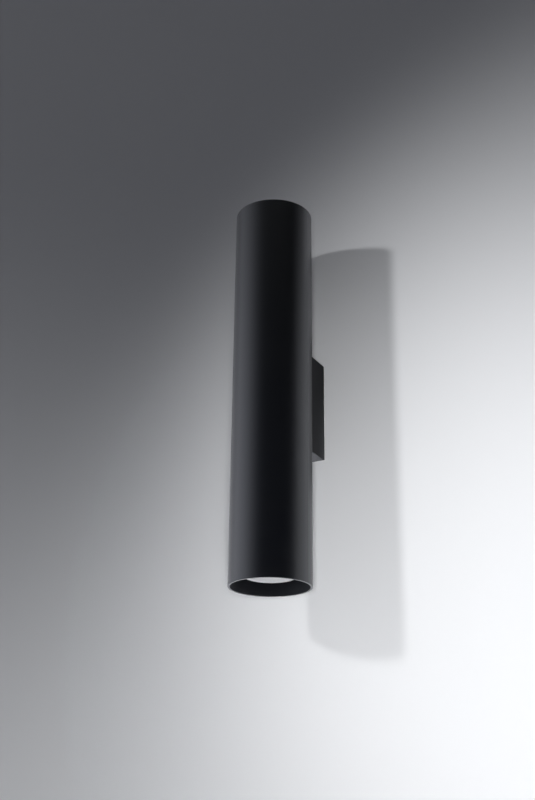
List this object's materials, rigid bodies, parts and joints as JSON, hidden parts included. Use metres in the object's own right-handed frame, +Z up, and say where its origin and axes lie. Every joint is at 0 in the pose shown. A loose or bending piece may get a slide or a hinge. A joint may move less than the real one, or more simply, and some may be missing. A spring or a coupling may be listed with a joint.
{
  "type": "wall lamp",
  "caption": "Slim matt black tube on a small wall box, with a recessed frosted bulb in each open end that washes the wall with light above and below.",
  "frame": {"origin": "middle of the wall box's back, in the plane of the wall", "axes": "+Z up along the tube, +Y into the wall, so the lamp stands out towards -Y; +X to the right of someone who faces the wall"},
  "size_m": [0.08, 0.115, 0.4],
  "materials": {
    "tube_coat": "fine matt black powder coat on steel",
    "box_coat": "fine matt black powder coat on steel",
    "plate_zinc": "zinc plated, slightly mottled",
    "black_screw": "blackened steel, slightly glossy",
    "screw_steel": "zinc plated",
    "washer_steel": "zinc plated",
    "tinned_copper": "tinned, dull",
    "rail_zinc": "zinc plated, slightly mottled",
    "nut_steel": "zinc plated",
    "grommet_rubber": "matt black",
    "block_nylon": "natural nylon, slightly translucent",
    "clamp_brass": "nickel free, satin",
    "clip_nylon": "natural nylon",
    "earth_insulation": "green with a yellow stripe",
    "live_insulation": "brown silicone",
    "neutral_insulation": "blue silicone",
    "socket_ceramic": "unglazed off-white steatite",
    "contact_bronze": "spring bronze",
    "bulb_plastic": "off-white heat conducting plastic",
    "bulb_frosted": "frosted diffuser, unlit",
    "board_white": "white solder mask on aluminium",
    "driver_green": "circuit board with its larger parts",
    "bulb_base_plastic": "off-white insulating plastic",
    "pin_nickel": "nickel plated"
  },
  "bodies": {
    "fixture": {"body_tube": "tube_coat", "wall_box": "box_coat", "wall_plate": "plate_zinc", "box_screws": "black_screw", "tube_screws": "screw_steel", "tube_screw_washers": "washer_steel", "earth_ring_terminal": "tinned_copper", "socket_rail": "rail_zinc", "clinch_nuts": "nut_steel", "cable_grommet": "grommet_rubber", "terminal_block": "block_nylon", "terminal_clamps": "clamp_brass", "terminal_clamp_screws": "screw_steel", "terminal_fixing_screws": "screw_steel", "lead_clips": "clip_nylon", "earth_lead": "earth_insulation", "lower_lampholder": "socket_ceramic", "lower_holder_cap": "socket_ceramic", "lower_contacts": "contact_bronze", "lower_holder_screws": "screw_steel", "lower_live_lead": "live_insulation", "lower_neutral_lead": "neutral_insulation", "upper_lampholder": "socket_ceramic", "upper_holder_cap": "socket_ceramic", "upper_contacts": "contact_bronze", "upper_holder_screws": "screw_steel", "upper_live_lead": "live_insulation", "upper_neutral_lead": "neutral_insulation"},
    "lower_bulb": {"lower_bulb_shell": "bulb_plastic", "lower_bulb_lens": "bulb_frosted", "lower_bulb_led_board": "board_white", "lower_bulb_driver": "driver_green", "lower_bulb_base": "bulb_base_plastic", "lower_bulb_pins": "pin_nickel"},
    "upper_bulb": {"upper_bulb_shell": "bulb_plastic", "upper_bulb_lens": "bulb_frosted", "upper_bulb_led_board": "board_white", "upper_bulb_driver": "driver_green", "upper_bulb_base": "bulb_base_plastic", "upper_bulb_pins": "pin_nickel"}
  },
  "joints": [
    {"name": "lower_bulb_twist", "type": "hinge", "parent": "fixture", "child": "lower_bulb", "pos_m": [0, -0.075, -0.19], "axis": [0, 0, -1], "range_deg": [0, 45]},
    {"name": "upper_bulb_twist", "type": "hinge", "parent": "fixture", "child": "upper_bulb", "pos_m": [0, -0.075, 0.19], "axis": [0, 0, 1], "range_deg": [0, 45]}
  ]
}
